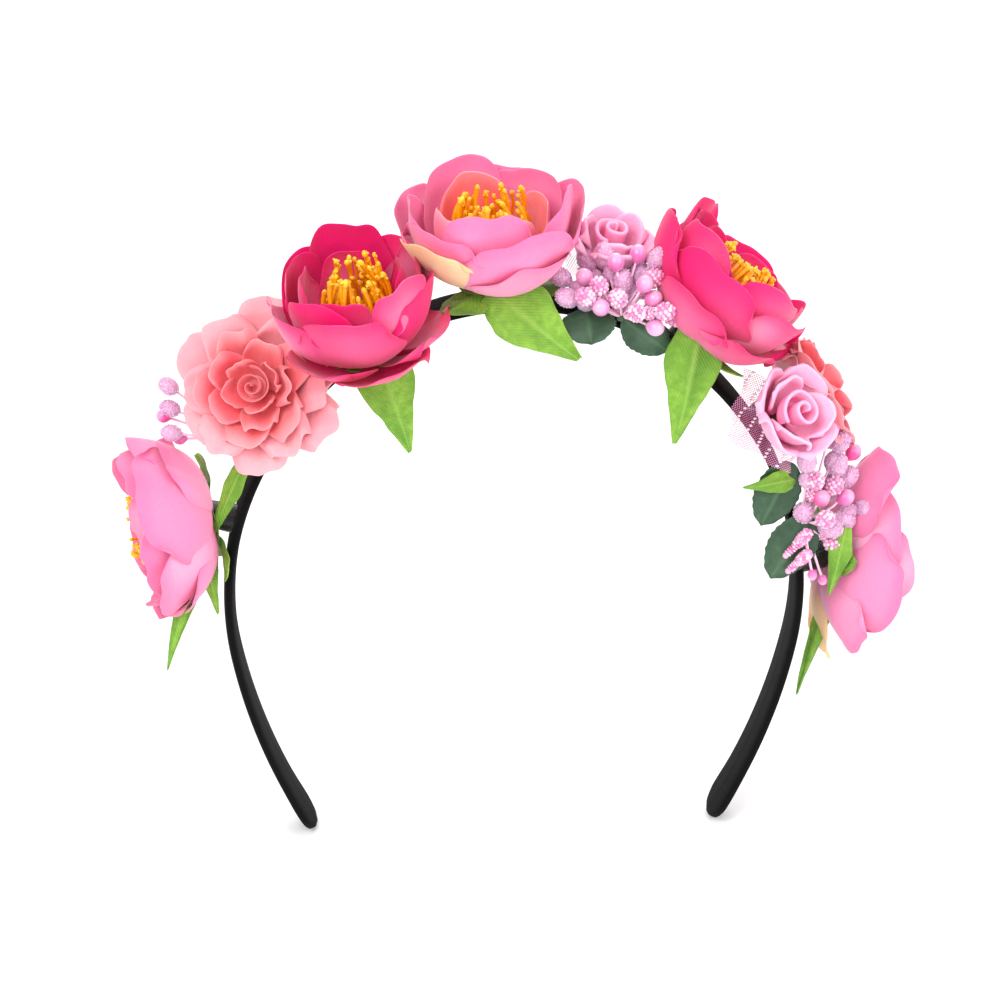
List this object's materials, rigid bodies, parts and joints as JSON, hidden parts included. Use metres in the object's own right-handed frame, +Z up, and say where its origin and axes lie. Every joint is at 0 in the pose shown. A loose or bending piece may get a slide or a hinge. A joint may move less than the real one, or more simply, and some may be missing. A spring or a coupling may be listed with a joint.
{
  "type": "flower crown",
  "caption": "Sprung headband sleeved in black cloth, with pink and coral artificial peonies and roses, berry sprays and leaves glued over its top and sides.",
  "frame": {"origin": "middle of the band's inner face at its top, where the wearer's head sits", "axes": "+X to the right as seen from the front, +Y to the back of the head, +Z up"},
  "size_m": [0.1959, 0.0662, 0.1713],
  "materials": {
    "spring_core": "smooth moulded strip, hidden in the sleeve",
    "sleeve_fabric": "soft brushed black cloth with a fine nap",
    "peg_plastic": "moulded green peg",
    "hot_glue": "dark glossy glue over black cloth",
    "sepal_cloth": "stiffened light green cloth, fine weave, frayed cut edges",
    "rose_leaf_cloth": "stiffened dark green cloth, fine weave, serrated edge",
    "tulle_net": "mauve net with small white dots",
    "yellow_stamens": "soft yellow filaments with paler tips",
    "stem_wire": "paper-wrapped wire",
    "pearl_coat": "pearlescent lacquer",
    "seed_beads": "berry coated in seed beads",
    "sugar_coat": "berry coated in clear glittering grains",
    "pink_foam": "matte foam sheet",
    "coral_petal_cloth": "formed satin cloth, paler frayed edges",
    "hot_pink_petal_cloth": "formed satin cloth shading from crimson to pale pink",
    "light_pink_petal_cloth": "formed satin cloth shading from white to deep pink edges"
  },
  "bodies": {
    "crown": {"band_core": "spring_core", "band_sleeve": "sleeve_fabric", "bloom_pegs": "peg_plastic", "glue_pads": "hot_glue", "left_low_peony_inner_petals": "light_pink_petal_cloth", "left_low_peony_middle_petals": "light_pink_petal_cloth", "left_low_peony_outer_petals": "light_pink_petal_cloth", "left_low_peony_sepals": "sepal_cloth", "left_low_peony_stamens": "yellow_stamens", "left_peony_inner_petals": "hot_pink_petal_cloth", "left_peony_middle_petals": "hot_pink_petal_cloth", "left_peony_outer_petals": "hot_pink_petal_cloth", "left_peony_sepals": "sepal_cloth", "left_peony_stamens": "yellow_stamens", "left_rose_bud": "coral_petal_cloth", "left_rose_inner_petals": "coral_petal_cloth", "left_rose_outer_petals": "coral_petal_cloth", "left_spray_pearls": "pearl_coat", "left_spray_stems": "stem_wire", "left_spray_sugared_berries": "sugar_coat", "right_foam_rose_bud": "pink_foam", "right_foam_rose_petals": "pink_foam", "right_foam_rose_tulle": "tulle_net", "right_low_peony_inner_petals": "light_pink_petal_cloth", "right_low_peony_middle_petals": "light_pink_petal_cloth", "right_low_peony_outer_petals": "light_pink_petal_cloth", "right_low_peony_sepals": "sepal_cloth", "right_low_peony_stamens": "yellow_stamens", "right_peony_inner_petals": "hot_pink_petal_cloth", "right_peony_middle_petals": "hot_pink_petal_cloth", "right_peony_outer_petals": "hot_pink_petal_cloth", "right_peony_sepals": "sepal_cloth", "right_peony_stamens": "yellow_stamens", "right_rose_bud": "coral_petal_cloth", "right_rose_inner_petals": "coral_petal_cloth", "right_rose_leaves": "rose_leaf_cloth", "right_rose_outer_petals": "coral_petal_cloth", "right_spray_beaded_stamens": "seed_beads", "right_spray_pearls": "pearl_coat", "right_spray_seed_berries": "seed_beads", "right_spray_smooth_buds": "pearl_coat", "right_spray_stems": "stem_wire", "right_spray_sugared_berries": "sugar_coat", "top_foam_rose_bud": "pink_foam", "top_foam_rose_petals": "pink_foam", "top_foam_rose_tulle": "tulle_net", "top_peony_inner_petals": "light_pink_petal_cloth", "top_peony_middle_petals": "light_pink_petal_cloth", "top_peony_outer_petals": "light_pink_petal_cloth", "top_peony_sepals": "sepal_cloth", "top_peony_stamens": "yellow_stamens", "top_rose_leaves": "rose_leaf_cloth", "top_spray_pearls": "pearl_coat", "top_spray_seed_berries": "seed_beads", "top_spray_stems": "stem_wire", "top_spray_sugared_berries": "sugar_coat"},
    "left_arm": {"band_core_left_arm": "spring_core", "band_sleeve_left_arm": "sleeve_fabric"},
    "right_arm": {"band_core_right_arm": "spring_core", "band_sleeve_right_arm": "sleeve_fabric"}
  },
  "joints": [
    {"name": "left_arm_spread", "type": "hinge", "parent": "crown", "child": "left_arm", "pos_m": [-0.06852, 0, -0.08145], "axis": [0, 1, 0], "range_deg": [-4, 12], "stiffness_Nm_per_rad": 0.6},
    {"name": "right_arm_spread", "type": "hinge", "parent": "crown", "child": "right_arm", "pos_m": [0.06852, 0, -0.08145], "axis": [0, -1, 0], "range_deg": [-4, 12], "stiffness_Nm_per_rad": 0.6}
  ]
}
